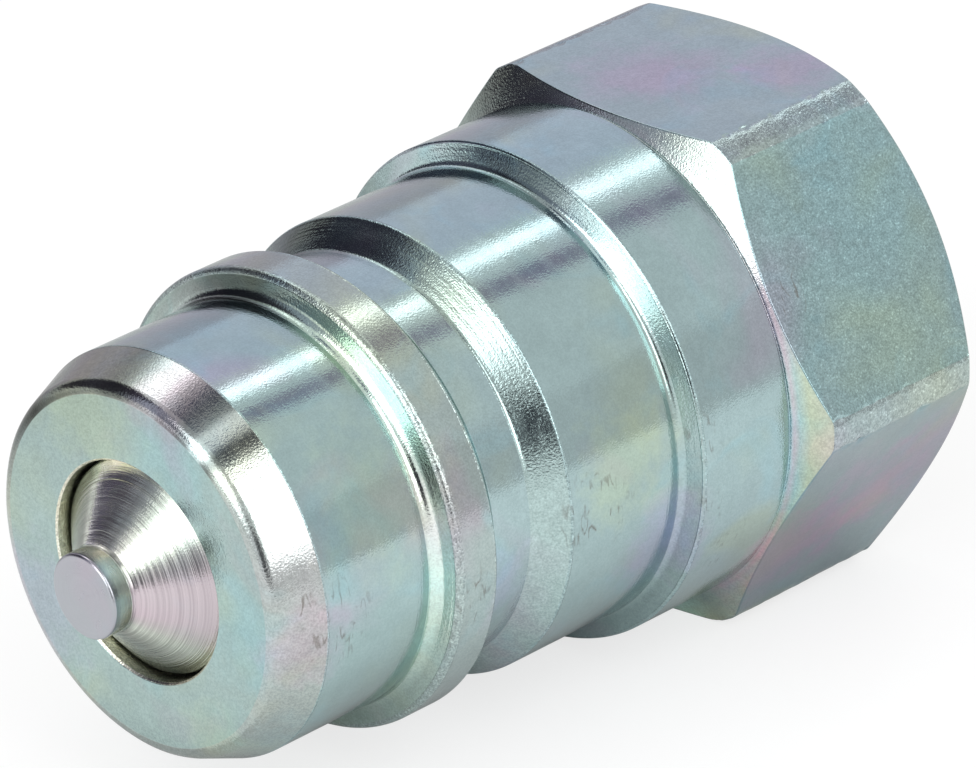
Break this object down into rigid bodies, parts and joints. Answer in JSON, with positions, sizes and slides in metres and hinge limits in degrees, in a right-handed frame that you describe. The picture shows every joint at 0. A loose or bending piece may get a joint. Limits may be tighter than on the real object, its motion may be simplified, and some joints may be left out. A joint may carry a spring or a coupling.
{
  "type": "hydraulic quick coupler",
  "caption": "Male half of a hydraulic quick coupler: stepped probe with locking collar and ball groove, spring-loaded poppet in the nose, hexagon with a threaded port.",
  "frame": {"origin": "centre of the threaded port's mouth, in the plane of the hexagon's rear face", "axes": "+X along the body's axis, from the nose out of the port; +Z out of a flat of the hexagon, up as the coupler lies"},
  "size_m": [0.039, 0.0248, 0.022],
  "materials": {
    "plated_body": "turned steel, bright zinc plate with an iridescent clear passivation",
    "plated_poppet": "turned steel with strong concentric tool marks, bright zinc plate",
    "seal_rubber": "moulded nitrile rubber",
    "spring_steel": "drawn spring wire, ground ends",
    "plated_guide": "turned steel, zinc plate",
    "ring_steel": "stamped spring steel, phosphated"
  },
  "bodies": {
    "body": {"coupler_body": "plated_body", "valve_guide": "plated_guide", "snap_ring": "ring_steel", "valve_spring": "spring_steel"},
    "valve": {"poppet": "plated_poppet", "poppet_seal": "seal_rubber", "seal_retainer": "plated_poppet"}
  },
  "joints": [
    {"name": "poppet_slide", "type": "slide", "parent": "body", "child": "valve", "axis": [1, 0, 0], "range_m": [0, 0.0045], "stiffness_N_per_m": 5300, "springref_m": -0.0041, "deforming": ["valve_spring"]}
  ]
}
